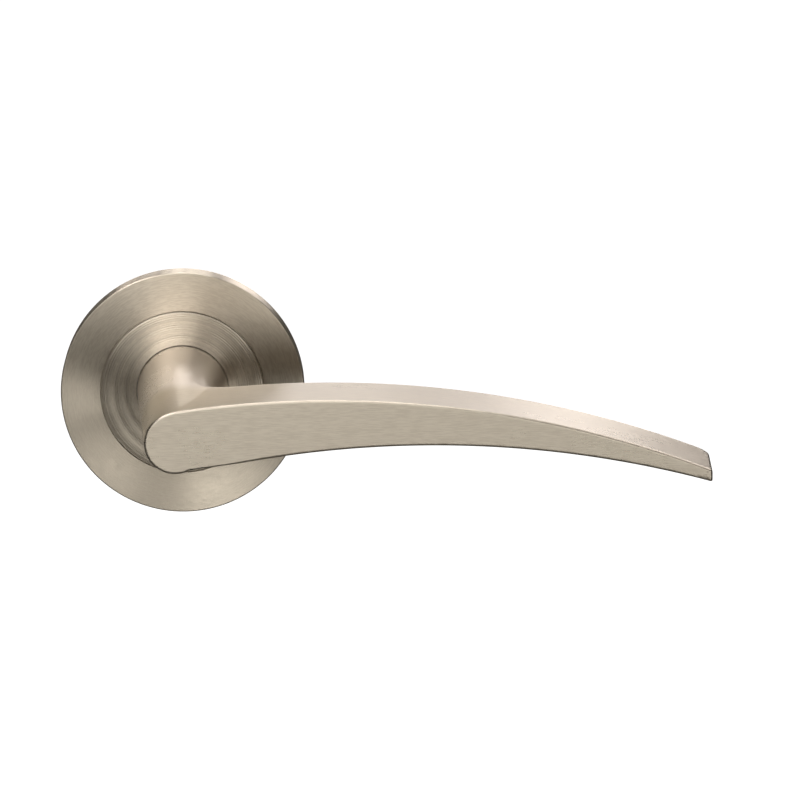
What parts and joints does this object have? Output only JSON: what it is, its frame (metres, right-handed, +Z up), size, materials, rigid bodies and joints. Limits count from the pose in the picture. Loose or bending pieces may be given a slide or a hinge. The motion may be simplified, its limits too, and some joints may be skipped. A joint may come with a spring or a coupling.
{
  "type": "door lever handle",
  "caption": "Slim bowed door lever on a tapered neck and a round dished rose, with spindle, return spring, stops and push-on cover.",
  "frame": {"origin": "on the spindle axis at the door face", "axes": "+Y into the door along the spindle, +X along the lever to its tip, +Z up"},
  "size_m": [0.137, 0.126, 0.052],
  "materials": {
    "satin_steel": "satin, fine linear and turned brushing",
    "zinc_steel": "bright zinc plated",
    "spring_steel": "drawn wire",
    "black_steel": "black oxide",
    "die_cast": "raw die-cast",
    "brass": "plain",
    "nylon": "moulded",
    "black_rubber": "matt"
  },
  "bodies": {
    "rose": {"backing_plate": "zinc_steel", "base_ring": "die_cast", "bearing_bush": "nylon", "fixing_posts": "zinc_steel", "fixing_screws": "zinc_steel", "plate_rivets": "zinc_steel", "stop_pins": "black_steel", "return_spring": "spring_steel", "grip_ring": "black_rubber"},
    "lever": {"lever_handle": "satin_steel", "spindle": "zinc_steel", "grub_screw": "black_steel", "driver_key": "brass", "spring_driver": "zinc_steel", "rear_washer": "zinc_steel", "spring_washer": "spring_steel", "circlip": "black_steel"},
    "cover": {"cover_ring": "satin_steel", "centre_ring": "satin_steel"}
  },
  "joints": [
    {"name": "lever_turn", "type": "hinge", "parent": "rose", "child": "lever", "pos_m": [0, 0, 0], "axis": [0, 1, 0], "range_deg": [0, 45], "stiffness_Nm_per_rad": 0.065, "springref_deg": -68.75, "deforming": ["return_spring"]},
    {"name": "cover_pull", "type": "slide", "parent": "rose", "child": "cover", "axis": [0, -1, 0], "range_m": [0, 0.025]}
  ]
}
